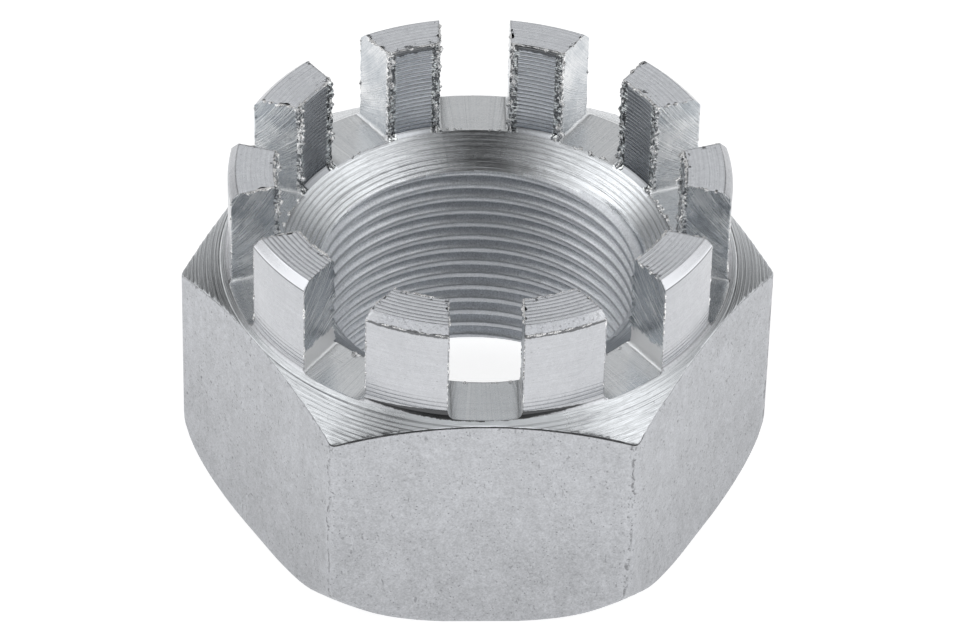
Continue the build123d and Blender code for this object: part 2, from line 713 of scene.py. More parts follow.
def burr_string(shell, path, seed, size):
    """A closed tube of uneven thickness along a path, for the torn metal on an edge."""
    path = np.asarray(path, float)
    run = np.gradient(path, axis=0)
    run /= np.linalg.norm(run, axis=1)[:, None]
    upright = np.abs(run[:, 2]).mean() > 0.7
    side = np.cross(run, (1.0, 0.3, 0.0) if upright else (0.0, 0.0, 1.0))
    side /= np.linalg.norm(side, axis=1)[:, None]
    rise = np.cross(side, run)
    turns = np.linspace(0.0, 2 * math.pi, BURR_SIDES + 1)[:, None]
    out = np.cos(turns) * side[:, None] + np.sin(turns) * rise[:, None]
    rings = path[:, None] + out * size
    thick = np.array([[burr_thickness(point, seed, size) for point in ring] for ring in rings])
    thick[:, -1] = thick[:, 0]
    thick[0] = thick[-1] = 0.0
    points = path[:, None] + out * thick[..., None]
    points[..., 2] = np.clip(points[..., 2], 0.0, nut_height())
    shell.grid(points, "torn_edge")


def spaced(start, end):
    """Values from one to another, about a burr's step apart."""
    return np.linspace(start, end, max(4, int(abs(end - start) / BURR_STEP)))


def slot_burrs(shell, index, side):
    """The torn edges of one wall of one slot: its inner, outer and top edges."""
    seed = 11.0 * index + (3.0 if side > 0 else 5.0)
    top = nut_height()
    half = side * (SLOT_HALF + BURR_BEHIND)
    ridge, rim = wall_end(WELL_RADIUS), wall_end(CROWN_RADIUS)
    inner = []
    for z in spaced(SLOT_FLOOR - BURR_UNDER_FLOOR, top - BURR_INSIDE):
        back = max(WELL_FLOOR - z, 0.0) / tan_deg(SINK_SLOPE)
        inner.append(slot_point(index, ridge + 0.02 - back, half + 0.1 * side, z))
    heights = spaced(CROWN_BASE + 0.4, top - OUTER_BEVEL)
    outer = [slot_point(index, rim - 0.05, half, z) for z in heights]
    over = [slot_point(index, along, half, top - 0.09) for along in spaced(ridge, rim - OUTER_BEVEL)]
    burr_string(shell, inner, seed, INNER_BURR * CLEANER_SLOTS.get(index, 1.0))
    burr_string(shell, outer, seed + 1.0, OUTER_BURR)
    burr_string(shell, over, seed + 2.0, TOP_BURR)


def arc_burr(shell, start, end, radius, z, seed, size):
    """A string of torn metal along an arc round the nut."""
    count = max(4, int(abs(end - start) * radius / BURR_STEP))
    burr_string(shell, polar(radius, np.linspace(start, end, count), z), seed, size)


def tooth_burr(shell, index, radius, aside, z, seed, size):
    """A string of torn metal along one tooth, a little to one side of an edge's radius."""
    reach = math.asin(SLOT_HALF / radius)
    ends = slot_angle(index) + reach, slot_angle(index + 1) - reach
    arc_burr(shell, *ends, radius + aside, z, seed + index, size)


def tooth_burrs(shell, index):
    """The torn edges along one tooth: its inner top edge and, on the two front teeth, the bevel."""
    top = nut_height()
    tooth_burr(shell, index, WELL_RADIUS, BURR_INSIDE, top - 0.07, 40.0, 0.8 * TOP_BURR)
    if index in FRONT_TEETH:
        tooth_burr(shell, index, CROWN_RADIUS, -BURR_BEHIND, top - OUTER_BEVEL, 60.0, 0.5 * TOP_BURR)


def floor_lip(shell, index):
    """The ragged lip where a slot's floor breaks into the bore."""
    reach = math.asin((SLOT_HALF - 0.5) / WELL_RADIUS)
    ends = slot_angle(index) - reach, slot_angle(index) + reach
    z = SLOT_FLOOR - BURR_UNDER_FLOOR
    arc_burr(shell, *ends, sink_rim() + BURR_INSIDE, z, 80.0 + index, LIP_BURR)


def build_burrs():
    """The torn metal on the crown's edges, as one piece on the nut."""
    shell = Shell(BURR_FINISHES)
    for index in range(SLOT_COUNT):
        slot_burrs(shell, index, 1.0)
        slot_burrs(shell, index, -1.0)
        tooth_burrs(shell, index)
        floor_lip(shell, index)
    burrs = new_piece(shell.mesh("crown_burrs"), BURR_FINISHES)
    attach(burrs, "root")


class Field:
    """What a node puts out, such as a value that changes over the surface. Sums of fields make nodes."""

    def __init__(self, nodes, socket):
        self.nodes = nodes
        self.socket = socket

    def __add__(self, other):
        return self.nodes.math("ADD", self, other)

    def __sub__(self, other):
        return self.nodes.math("SUBTRACT", self, other)

    def __rsub__(self, other):
        return self.nodes.math("SUBTRACT", other, self)

    def __mul__(self, other):
        return self.nodes.math("MULTIPLY", self, other)

    def __truediv__(self, other):
        return self.nodes.math("DIVIDE", self, other)

    def __pow__(self, other):
        return self.nodes.math("POWER", self, other)

    def __lt__(self, other):
        return self.nodes.math("LESS_THAN", self, other)

    def __abs__(self):
        return self.nodes.math("ABSOLUTE", self)

    __radd__ = __add__
    __rmul__ = __mul__

    def at_least(self, other):
        """The larger of two values."""
        return self.nodes.math("MAXIMUM", self, other)

    def at_most(self, other):
        """The smaller of two values."""
        return self.nodes.math("MINIMUM", self, other)

    def wrapped(self):
        """The distance from the nearest whole number, from -0.5 to 0.5."""
        return self.nodes.math("WRAP", self, 0.5, -0.5)

    def ramp(self, low, high, start=0.0, end=1.0):
        """A value taken smoothly from one range to another."""
        values = dict(enumerate((self, low, high, start, end)))
        return self.nodes.field("MapRange", values, interpolation_type="SMOOTHSTEP")

    def fade(self, low, high):
        """1 below a range, falling smoothly to 0 above it."""
        return self.ramp(low, high, 1.0, 0.0)

    def parts(self, kind="SeparateXYZ"):
        """The three parts of a vector or a colour."""
        node = self.nodes.place(kind)
        self.nodes.join(self, node.inputs[0])
        return [Field(self.nodes, socket) for socket in node.outputs[:3]]

    def stretch(self, *scale):
        """A vector with its parts scaled, all alike or each on its own."""
        scale = scale * 3 if len(scale) == 1 else scale
        return self.nodes.field("VectorMath", {0: self, 1: scale}, operation="MULTIPLY")

    def noise(self, scale, detail=2.0, roughness=0.5, output="Fac"):
        """Soft noise between 0 and 1."""
        values = {"Vector": self, "Scale": scale, "Detail": detail, "Roughness": roughness}
        return self.nodes.field("TexNoise", values, output)

    def ragged(self, scale):
        """Rough noise, as torn and worn metal has it."""
        return self.noise(scale, 3.0, 0.7)

    def bent(self, scale, amount):
        """A vector pushed about by soft noise, so that patterns on it lose their evenness."""
        values = {0: self.noise(scale, output="Color"), 1: (amount, amount, amount), 2: self}
        return self.nodes.field("VectorMath", values, operation="MULTIPLY_ADD")


class Fields:
    """All that a node puts out, each field under its own name."""

    def __init__(self, nodes, node):
        for socket in node.outputs:
            setattr(self, socket.name.lower().replace(" ", "_"), Field(nodes, socket))


class Nodes:
    """Places nodes in one tree and joins them."""

    def __init__(self, tree):
        self.tree = tree

    def place(self, kind, **settings):
        """A new node with the given settings."""
        node = self.tree.nodes.new("ShaderNode" + kind)
        for name, value in settings.items():
            setattr(node, name, value)
        return node

    def join(self, value, socket):
        """Links a field to a socket, or gives the socket a plain value."""
        if isinstance(value, Field):
            self.tree.links.new(value.socket, socket)
        else:
            socket.default_value = value

    def field(self, kind, values, output=0, **settings):
        """What a new node puts out, fed with values by the names or numbers of its sockets."""
        node = self.place(kind, **settings)
        for key, value in values.items():
            self.join(value, node.inputs[key])
        return Field(self, node.outputs[output])

    def math(self, operation, *values):
        """What an operation makes of one, two or three values."""
        return self.field("Math", dict(enumerate(values)), operation=operation)

    def vector(self, x, y, z):
        """A vector from three values."""
        return self.field("CombineXYZ", {0: x, 1: y, 2: z})

    def between(self, share, first, second):
        """A value between two values."""
        return self.field("Mix", {"Factor": share, 2: first, 3: second}, data_type="FLOAT")

    def blend(self, share, first, second):
        """A colour between two colours."""
        return self.field("Mix", {"Factor": share, 6: first, 7: second}, 2, data_type="RGBA")

    def group(self, name, **values):
        """A shared effect, fed with its inputs, as its fields by name."""
        node = self.place("Group", node_tree=bpy.data.node_groups[name])
        for key, value in values.items():
            self.join(value, node.inputs[key])
        return Fields(self, node)

    def put_out(self, **values):
        """Ends a shared effect with the fields that it gives."""
        end = self.tree.nodes.new("NodeGroupOutput")
        for key, value in values.items():
            self.join(value, end.inputs[key])


def new_group(name, inputs, outputs):
    """An empty shared effect with named sockets: its nodes and the fields that it is given."""
    tree = bpy.data.node_groups.new(name, "ShaderNodeTree")
    for way, keys in (("INPUT", inputs), ("OUTPUT", outputs)):
        for key in keys:
            kind = "NodeSocketVector" if key in VECTOR_SOCKETS else "NodeSocketFloat"
            tree.interface.new_socket(key, in_out=way, socket_type=kind)
    nodes = Nodes(tree)
    return nodes, Fields(nodes, tree.nodes.new("NodeGroupInput"))


def direction(turn):
    """The x and y parts of a direction round the axis, and its angle."""
    x, y, _ = turn.parts()
    return x, y, turn.nodes.math("ARCTAN2", y, x)


def round_the_axis_group():
    """Where a point is: in millimetres, and as distance, height and direction round the axis."""
    nodes, _ = new_group("round_the_axis", [], ["Place", "Radius", "Height", "Turn"])
    place = nodes.field("TexCoord", {}, "Object").stretch(1 / MM)
    x, y, z = place.parts()
    radius = nodes.math("SQRT", x * x + y * y)
    nodes.put_out(Place=place, Radius=radius, Height=z, Turn=nodes.vector(x / radius, y / radius, 0.0))


def turning_marks_group():
    """Grooves that a lathe tool leaves: their depth, and fine streaks that run along them."""
    nodes, start = new_group("turning_marks", ["Across", "Feed", "Waver"], ["Groove", "Streak"])
    x, y, _ = nodes.group("round_the_axis").turn.stretch(1.6).parts()
    wander = nodes.vector(x, y, start.across * 0.8).noise(1.0) - 0.5
    across = wander * start.waver + start.across
    ridge = abs(nodes.math("FRACT", across / start.feed) * 2.0 - 1.0)
    streak = nodes.vector(x, y, start.across * 4.5).noise(2.2, 3.0, 0.65)
    nodes.put_out(Groove=ridge**3.5, Streak=streak)


def plating_group():
    """The zinc's own unevenness: clouds, a mottle, small dark pits in drifts, and a fine grain."""
    nodes, start = new_group("plating", ["Place", "Specks"], ["Clouds", "Mottle", "Specks", "Grain"])
    place = start.place
    wanted = place.noise(0.35, 3.0, 0.6).ramp(0.36, 0.64) * start.specks * 0.9
    specks = 0.0
    for density, size in PITS:
        cells = nodes.place("TexVoronoi")
        nodes.join(place.bent(1.7, 0.12), cells.inputs["Vector"])
        nodes.join(density, cells.inputs["Scale"])
        cell = Fields(nodes, cells)
        chance, share, depth = cell.color.parts("SeparateColor")
        reach = (share + 0.5) * (size * density)
        dot = (cell.distance / reach).fade(0.35, 1.1)
        specks = (dot * (chance < wanted) * (depth * 0.7 + 0.3)).at_least(specks)
    clouds = place.noise(0.28, 4.0, 0.6)
    mottle = place.noise(1.7, 3.0, 0.65)
    nodes.put_out(Clouds=clouds, Mottle=mottle, Specks=specks, Grain=place.ragged(6.5))


def edge_wear_group():
    """Bright rubbed edges, broken up a little, and painted shade in the inner corners."""
    nodes, start = new_group("edge_wear", ["Place"], ["Worn", "Dull"])
    worn = nodes.field("Attribute", {}, "Fac", attribute_name="worn_edge")
    dull = nodes.field("Attribute", {}, "Fac", attribute_name="dull_corner")
    nodes.put_out(Worn=worn * start.place.noise(2.4).ramp(0.38, 0.6), Dull=dull)


def scratches_group():
    """Short thin scratches and long faint drag lines, mostly upright."""
    nodes, start = new_group("scratches", ["Place"], ["Scratch", "Drag"])
    x, y, z = start.place.parts()
    lean = z * 0.22 + start.place.noise(0.5, 1.0) * 1.5
    scratch = nodes.vector(x + lean, y + lean, z * 0.16).noise(3.4, 1.0)
    drag = nodes.vector(x + lean, y + lean, z * 0.09).noise(1.1, 4.0, 0.7)
    nodes.put_out(Scratch=scratch.ramp(0.71, 0.76), Drag=drag)


def corner_nicks_group():
    """The hexagon's edges: thin dark lines that come and go, and small dents beside them."""
    nodes, start = new_group("corner_nicks", ["Place", "Turn", "Radius", "Height"], ["Line", "Band"])
    _, y, angle = direction(start.turn)
    sixth = math.pi / 3
    wander = start.place.noise(0.55, 3.0, 0.6) - 0.5
    off = (angle / sixth).wrapped() * (sixth * corner_distance()) + wander * 1.5
    off = abs(off + CORNER_SHIFT)
    breaks = start.place.noise(1.1, 4.0, 0.7).ramp(0.44, 0.6)
    cone = start.radius * -tan_deg(CONE_SLOPE) + (CROWN_BASE + CROWN_RADIUS * tan_deg(CONE_SLOPE))
    below = cone - start.height
    front = y.ramp(-0.83, -0.88)
    arc = (below - front * 0.07).fade(0.12, 0.2) * (breaks * 0.6 + front * 1.5 + 0.3)
    near = off.at_most(below)
    dents = start.place.noise(2.1, 2.0, 0.6).ramp(0.61, 0.7) * near.fade(0.15, 0.7)
    lines = (off.fade(0.05, 0.15) * breaks).at_least(arc)
    nodes.put_out(Line=lines.at_least(dents), Band=near.fade(0.3, 0.8))


def slot_edge_group():
    """How far a point lies from the nearest slot's wall, and ragged breaks along that edge."""
    nodes, start = new_group("slot_edge", ["Place", "Turn", "Radius"], ["Off", "Torn", "Line"])
    _, y, angle = direction(start.turn)
    pitch = 2 * math.pi / SLOT_COUNT
    turn = ((angle + math.pi / 2) / pitch).wrapped() * pitch
    off = abs(nodes.math("SINE", turn) * start.radius) - SLOT_HALF
    rough = start.place.ragged(2.6)
    torn = ((rough - 0.5) * 0.9 + off).fade(0.6, 0.78) * y.ramp(*TORN_SIDE)
    nodes.put_out(Off=off, Torn=torn, Line=off.fade(0.06, 0.16) * rough.ramp(0.36, 0.56))


def foot_shadow_group():
    """A painted shadow at the foot of the two front teeth, widest beside the front slot."""
    nodes, start = new_group("foot_shadow", ["Place", "Turn", "Height"], ["Gap"])
    _, _, angle = direction(start.turn)
    left = angle.ramp(slot_angle(-1) + 0.08, slot_angle(0) - 0.1)
    right = angle.ramp(slot_angle(0) + 0.08, slot_angle(0.72), 0.8, 0.0)
    wide = nodes.between(angle < slot_angle(0), right, left)
    height = 0.16 * (start.place.ragged(2.2) - 0.5) + start.height
    below = (height - (0.46 * wide + (CROWN_BASE + 0.02))).fade(-0.03, 0.03)
    above = (height + (0.22 * wide - (CROWN_BASE - 0.04))).ramp(-0.03, 0.03)
    nodes.put_out(Gap=below * above * wide.ramp(0.02, 0.12))


def make_groups():
    """Builds the effects that the finishes share."""
    round_the_axis_group()
    turning_marks_group()
    plating_group()
    edge_wear_group()
    scratches_group()
    corner_nicks_group()
    slot_edge_group()
    foot_shadow_group()


class Finish:
    """A metal finish to be dressed: its shader, where each point is and its zinc plating."""

    def __init__(self, name, colour, roughness, specks):
        self.colour = colour
        self.material = bpy.data.materials.new(name)
        self.material.use_nodes = True
        self.nodes = Nodes(self.material.node_tree)
        self.shader = self.material.node_tree.nodes["Principled BSDF"].inputs
        self.shader["Metallic"].default_value = 1.0
        self.shader["Base Color"].default_value = (*colour, 1.0)
        self.shader["Roughness"].default_value = roughness
        where = self.nodes.group("round_the_axis")
        self.place, self.radius, self.height, self.turn = where.place, where.radius, where.height, where.turn
        self.x, self.y, self.angle = direction(self.turn)
        self.zinc = self.nodes.group("plating", Place=self.place, Specks=specks)

    def wear(self):
        """Where edges are rubbed bright, and where inner corners are painted in shade."""
        return self.nodes.group("edge_wear", Place=self.place)

    def turning_marks(self, across, feed, waver):
        """The grooves and streaks of a lathe tool."""
        return self.nodes.group("turning_marks", Across=across, Feed=feed, Waver=waver)

    def slot_edge(self):
        """The distance to the nearest slot's wall and the damage along that edge."""
        return self.nodes.group("slot_edge", Place=self.place, Turn=self.turn, Radius=self.radius)

    def foot_gap(self):
        """The painted shadow at the foot of the front teeth."""
        return self.nodes.group("foot_shadow", Place=self.place, Turn=self.turn, Height=self.height).gap

    def tint(self, share):
        """The finish's colour made lighter or darker."""
        return tuple(min(1.0, part * share) for part in self.colour) + (1.0,)

    def paint(self, light, worn=0.0, dull=0.0, black=0.0):
        """Base colour: dark to light by one value, then bright worn edges and painted highlights, dull
        places and painted shade, and black cracks, holes and painted shadows.
        """
        base = self.nodes.blend(light, self.tint(DARK), self.tint(LIGHT))
        base = self.nodes.blend(worn, base, self.tint(WORN_AND_HIGHLIGHT))
        base = self.nodes.blend(dull, base, self.tint(DULL_AND_SHADE))
        base = self.nodes.blend(black, base, self.tint(BLACK))
        self.nodes.join(base, self.shader["Base Color"])

    def roughen(self, roughness):
        """Roughness from a field."""
        self.nodes.join(roughness, self.shader["Roughness"])

    def emboss(self, height):
        """Bump from a height in millimetres."""
        bump = self.nodes.field("Bump", {"Distance": MM, "Height": height})
        self.nodes.join(bump, self.shader["Normal"])


def forged_flat_finish():
    """The flats: plated as forged, matte, speckled, with scratches and fine pits."""
    steel = Finish("forged_flat", colour=(0.54, 0.55, 0.573), roughness=0.55, specks=1.6)
    zinc = steel.zinc
    marks = steel.nodes.group("scratches", Place=steel.place)
    where = {"Place": steel.place, "Turn": steel.turn, "Radius": steel.radius, "Height": steel.height}
    nicks = steel.nodes.group("corner_nicks", **where)
    light = 0.55 * zinc.clouds + 0.55 * zinc.mottle + 1.2 * zinc.grain - 0.8 * zinc.specks
    # Painted shade: the flats are painted darker towards the bottom and a little lighter at the top.
    light = light + 0.35 * marks.drag - 0.4 * marks.scratch + steel.height.ramp(0.0, 19.0, -0.13, 0.08)
    worn = (0.12 * steel.wear().worn).at_least(0.14 * nicks.band)
    steel.paint(light - 0.82, worn, black=0.5 * nicks.line)
    steel.roughen(0.2 * zinc.clouds + 0.15 * zinc.specks + 0.44)
    height = 0.03 * zinc.grain - 0.03 * zinc.specks + 0.03 * zinc.mottle + 0.08 * zinc.clouds
    steel.emboss(height - 0.02 * marks.scratch - 0.06 * nicks.line)
    return steel.material


def faint_share(steel):
    """How near a point is to the side where the cone's marks are faint, from 0 to 1."""
    faint = math.radians(FAINT_SIDE)
    return (steel.x * math.cos(faint) + steel.y * math.sin(faint)).at_least(0.0) ** 6.0


def cone_marks(steel):
    """The tool's grooves on the cone, the crisp lines among them in front, and the streaks along them."""
    start = RING_GROOVE + RING_GROOVE_HALF
    marks = steel.turning_marks(steel.radius - start, CONE_FEED, waver=0.05)
    groove = marks.groove * steel.radius.ramp(start - 0.02, start + 0.02)
    crisp = steel.angle.ramp(*np.radians(CRISP_START)) * steel.angle.fade(*np.radians(CRISP_END))
    lines = groove**3.0 * marks.streak.ramp(0.36, 0.52) * crisp
    groove = groove * (1.0 - faint_share(steel)) * (crisp * 0.8 + 0.2)
    return groove, lines, marks.streak


def sink_marks(steel, inside):
    """The tool's grooves in the countersink, smoothed low down on the right."""
    foot = sink_rows()[-1]
    marks = steel.turning_marks(sink_rim() - steel.radius, SINK_FEED, waver=0.03)
    smooth = steel.radius.fade(foot - 0.2, foot + 0.2) * steel.x.ramp(0.12, 0.3)
    return marks.groove * inside * (1.0 - 0.85 * smooth)


def turned_cone_finish():
    """The cone and the countersink: bright turned zinc, streaked along the tool's grooves, with painted
    highlights, painted shade and painted shadows.
    """
    steel = Finish("turned_cone", colour=(0.67, 0.692, 0.715), roughness=0.26, specks=0.2)
    zinc, wear, radius, aside = steel.zinc, steel.wear(), steel.radius, abs(steel.x)
    inside = radius < SINK_SIDE
    outside = 1.0 - inside
    outer, lines, streak = cone_marks(steel)
    groove = sink_marks(steel, inside)
    # Painted highlight and shade in the countersink: its far sides are painted bright (sheen), and away from
    # its middle it is painted a little darker (lit).
    sheen = aside.ramp(0.5, 0.85) * inside
    lit = aside.ramp(0.12, 0.5, 0.0, 1.5) * inside
    # Painted highlight: a bright band along the cone at the very front (front). Painted shade: the cone
    # darker at its far sides (shade). The whole cone is also painted a little darker than the countersink
    # (outside).
    front = steel.y.ramp(-0.93, -0.99) * outside
    shade = aside.ramp(0.72, 0.97) * radius.ramp(SMOOTH_RING_END, SMOOTH_RING_END + 0.04) * outside
    light = 0.9 * streak + 0.3 * zinc.clouds - 0.4 * zinc.specks - 0.25 * groove - 0.18 * lit
    light = light - 0.6 * outer - 0.2 * shade + 0.5 * front - 0.2 * outside
    # The bright layer adds the painted highlights to real edge wear; the dark layer is painted shade in
    # inner corners plus darker tool grooves.
    worn = (0.3 * wear.worn).at_least(front).at_least(0.95 * sheen)
    dull = (0.3 * wear.dull).at_least(0.55 * groove * sheen).at_least(0.7 * outer)
    crack = abs(radius - RING_GROOVE).fade(0.02, 0.07) * (0.4 - 0.4 * faint_share(steel))
    # Painted shadow: a dark band in the countersink just under the slot floors' lip (lip), and the painted
    # shadow at the foot of the front teeth.
    lip = radius.ramp(sink_rim() - 0.24, sink_rim() - 0.12) * inside * (steel.slot_edge().off < -0.3)
    black = crack.at_least(0.95 * steel.foot_gap()).at_least(0.35 * lip).at_least(0.75 * lines)
    steel.paint(light - 0.07, worn, dull, black)
    steel.roughen(0.18 * streak + 0.14 * zinc.clouds + 0.35 * front)
    steel.emboss(0.03 * streak + 0.004 * zinc.grain - 0.02 * groove * (radius < sink_rows()[-1]))
    return steel.material


def turned_side_finish():
    """The crown's outer side: satin, with a few deeper tool marks near its foot, a bevel at its rim painted
    bright towards the front, and a painted shadow at the foot of the front teeth.
    """
    steel = Finish("turned_side", colour=(0.6, 0.611, 0.637), roughness=0.36, specks=0.25)
    zinc, wear, height, y = steel.zinc, steel.wear(), steel.height, steel.y
    rim = nut_height() - OUTER_BEVEL
    marks = steel.turning_marks(height, SIDE_FEED, waver=0.25)
    groove = marks.groove * height.ramp(CROWN_BASE + 1.0, CROWN_BASE + 2.2, 1.0, 0.06)
    front = y.ramp(-0.86, -0.93)
    near_front = y.ramp(-0.25, -0.55)
    bevel = height.ramp(rim - 0.04, rim + 0.04)
    rough_bevel = bevel * front
    rough = (steel.place.ragged(2.2) - 0.5) * front
    drop = abs(height - (rim - 0.08) + 0.35 * rough)
    line = drop.fade(0.09 * front + 0.03, 0.13 * front + 0.08)
    light = 0.4 * marks.streak + 0.4 * zinc.grain + 0.3 * zinc.mottle - 0.35 * zinc.specks
    # Painted highlight: the rim's bevel is painted lighter and bright towards the front, and a little darker
    # at the back.
    light = light - 0.55 * groove + bevel * (0.8 * near_front - 0.2)
    speckled = steel.place.ragged(3.4).ramp(0.56, 0.66) * rough_bevel
    worn = (0.3 * wear.worn).at_least(bevel * near_front)
    dull = (0.7 * wear.dull).at_least(0.5 * speckled)
    # The black takes the painted shadow at the foot of the front teeth.
    black = (0.8 * line).at_least(0.5 * steel.slot_edge().line).at_least(0.95 * steel.foot_gap())
    steel.paint(light - 0.08, worn, dull, black)
    steel.roughen(0.12 * marks.streak + 0.4 * zinc.clouds + 0.4 * rough_bevel)
    relief = 0.006 * marks.streak - 0.018 * groove + 0.003 * zinc.grain + 0.06 * zinc.clouds
    steel.emboss(relief + 0.25 * rough * bevel)
    return steel.material


def turned_top_finish():
    """The tops of the teeth: faced, with clear grooves round the axis and holes torn along the edges."""
    steel = Finish("turned_top", colour=(0.72, 0.74, 0.8), roughness=0.32, specks=0.5)
    zinc = steel.zinc
    marks = steel.turning_marks(steel.radius, TOP_FEED, waver=0.22)
    edge = steel.slot_edge()
    front = (steel.y + 0.15 * steel.x).ramp(-0.3, -0.8)
    deep = marks.groove * (0.88 * front + 0.12)
    off = edge.off.at_most(steel.radius - (WELL_RADIUS + INNER_BEVEL))
    holes = steel.place.ragged(0.9).ramp(0.58, 0.63) * off.fade(0.25, 0.5)
    light = 0.7 * marks.streak + 0.5 * zinc.mottle + 0.4 * zinc.grain - 0.4 * zinc.specks - 0.95 * deep
    black = (0.85 * holes).at_least(0.35 * edge.line)
    steel.paint(light - 0.1, 0.6 * steel.wear().worn, black=black)
    steel.roughen(0.2 * marks.streak + 0.3 * zinc.clouds)
    steel.emboss(0.012 * marks.streak - 0.035 * deep + 0.006 * zinc.grain - 0.1 * holes)
    return steel.material


def bored_well_finish():
    """The teeth's inner sides: bored in level grooves, dark, with painted shade on the teeth to either side,
    and torn along their upright edges.
    """
    steel = Finish("bored_well", colour=(0.69, 0.715, 0.752), roughness=0.34, specks=0.6)
    zinc, wear = steel.zinc, steel.wear()
    marks = steel.turning_marks(steel.height, BORE_FEED, waver=0.1)
    edge = steel.slot_edge()
    # Painted shade: the inner sides of the teeth to the left and the right are painted darker (aside).
    aside = abs(steel.x).ramp(0.45, 0.62)
    pocks = steel.place.ragged(2.6).ramp(0.48, 0.54)
    torn = edge.torn * pocks
    bright = edge.torn * (1.0 - pocks)
    light = 0.8 * marks.streak + 0.5 * zinc.grain - 0.4 * zinc.specks + 0.3 * bright
    dull = (0.8 * marks.groove + 0.66 * aside + 0.5 * wear.dull).at_most(1.0) * (1.0 - bright)
    worn = (0.5 * wear.worn).at_least(bright)
    under = 0.9 * (steel.place.ragged(1.9) - 0.5) + (steel.height - (nut_height() - 0.55))
    under = under.ramp(-0.06, 0.06) * steel.y.ramp(0.6, 0.8) * edge.off.ramp(0.3, 0.5)
    steel.paint(light - 0.1, worn, dull, (0.8 * torn).at_least(0.75 * under))
    steel.roughen(0.2 * marks.streak + 0.3 * zinc.clouds)
    steel.emboss(0.012 * marks.streak - 0.05 * marks.groove + 0.006 * zinc.grain - 0.16 * torn)
    return steel.material


def cutter_sweeps(steel, rise):
    """The curved marks that the slot cutter's edge swept up the walls."""
    drop = ((2 * CUTTER_RADIUS - rise) * rise).at_least(0.0)
    sweep = steel.radius + steel.nodes.math("SQRT", drop)
    line = steel.nodes.vector(sweep * 4.4, rise * 0.12, steel.radius)
    return line.stretch(1.0, 1.0, 0.12).noise(1.3, 3.0, 0.65)


def milled_slot_finish():
    """The slots: sweeping cutter marks up the walls, fine lines along the floors, lighter near the floor,
    with painted shade on the walls and the front floors.
    """
    steel = Finish("milled_slot", colour=(0.8, 0.86, 0.92), roughness=0.34, specks=0.4)
    zinc, place, y = steel.zinc, steel.place, steel.y
    rise = steel.height - SLOT_FLOOR
    on_floor = rise.fade(0.03, SLOT_ROUND * 0.8)
    on_wall = 1.0 - on_floor
    sweeps = cutter_sweeps(steel, rise)
    wall_streak = (sweeps - 0.5) * on_wall
    floor_streak = (steel.turn.stretch(150.0, 150.0, 1.0).noise(1.0, 3.0, 0.6) - 0.5) * on_floor
    blotch = (zinc.clouds - 0.5) * on_wall
    low = (rise - 2.2 * place.noise(0.9, 4.0, 0.6)).fade(0.95, 1.4) * y.ramp(-0.45, -0.6)
    pale = low * on_wall
    facing = y.ramp(-0.2, -0.5)
    inward = 0.9 * (place.ragged(2.6) - 0.5) + (steel.radius - WELL_RADIUS)
    torn = inward.fade(0.25, 0.42) * on_wall * y.ramp(*TORN_SIDE)
    pocks = place.ragged(3.0).ramp(0.47, 0.54)
    bright = torn * (1.0 - pocks)
    light = 0.7 * floor_streak + 1.1 * wall_streak + 1.8 * blotch + 0.5 * zinc.grain - 0.4 * zinc.specks
    worn = (0.6 * steel.wear().worn).at_least(pale).at_least(bright)
    # Painted shade: the slots' walls are darkened, most where they face the front, and the floors of the
    # front slots too.
    shaded_wall = (1.0 - low) * (0.72 * facing - 0.7 * wall_streak - blotch + 0.26) * on_wall
    shaded_floor = (0.08 * y.ramp(-0.6, -0.75) + 0.3 * y.ramp(-0.95, -0.98)) * on_floor
    scratch = sweeps.ramp(0.55, 0.62) * on_wall * facing
    dull = shaded_wall.at_least(shaded_floor) * (1.0 - 0.9 * scratch) * (1.0 - bright)
    steel.paint(light + 0.26, worn, dull, 0.8 * torn * pocks)
    steel.roughen(0.2 * sweeps + 0.3 * zinc.clouds + 0.35 * pale)
    steel.emboss(0.02 * floor_streak + 0.05 * wall_streak + 0.006 * zinc.grain)
    return steel.material


def cut_thread_finish():
    """The thread: cut steel, grainy, with rougher crests, painted lighter towards both sides and in shade on
    the crests deeper down.
    """
    steel = Finish("cut_thread", colour=(0.72, 0.742, 0.782), roughness=0.36, specks=0.5)
    zinc = steel.zinc
    marks = steel.turning_marks(steel.height, THREAD_FEED, waver=0.1)
    crest = steel.radius.fade(MINOR_RADIUS + 0.01, MINOR_RADIUS + 0.15)
    # Painted light and shade: the thread is painted lighter towards both sides (aside), and its crests
    # darker deeper in the bore (dim).
    aside = abs(steel.x).ramp(0.4, 0.9)
    light = 0.5 * zinc.mottle + 1.6 * zinc.grain - 0.3 * zinc.specks + 0.3 * aside
    dim = crest * steel.height.ramp(SLOT_FLOOR - 1.5, SLOT_FLOOR - 7.0, 0.0, 0.4)
    steel.paint(light - 0.64, dull=dim)
    steel.roughen(0.3 * marks.streak + 0.55 * zinc.grain + 0.12 * crest)
    steel.emboss(0.01 * marks.streak + 0.014 * zinc.grain)
    return steel.material


def faced_bearing_finish():
    """The bearing face: faced flat, with even grooves round the axis."""
    steel = Finish("faced_bearing", colour=(0.6, 0.608, 0.622), roughness=0.34, specks=0.4)
    zinc = steel.zinc
    marks = steel.turning_marks(steel.radius, FACE_FEED, waver=0.06)
    light = 0.5 * marks.streak + 0.4 * zinc.clouds - 0.4 * zinc.specks - 0.2 * marks.groove
    steel.paint(light + 0.1, 0.5 * steel.wear().worn)
    steel.roughen(0.2 * marks.streak + 0.4 * zinc.clouds)
    steel.emboss(0.01 * marks.streak - 0.03 * marks.groove)
    return steel.material


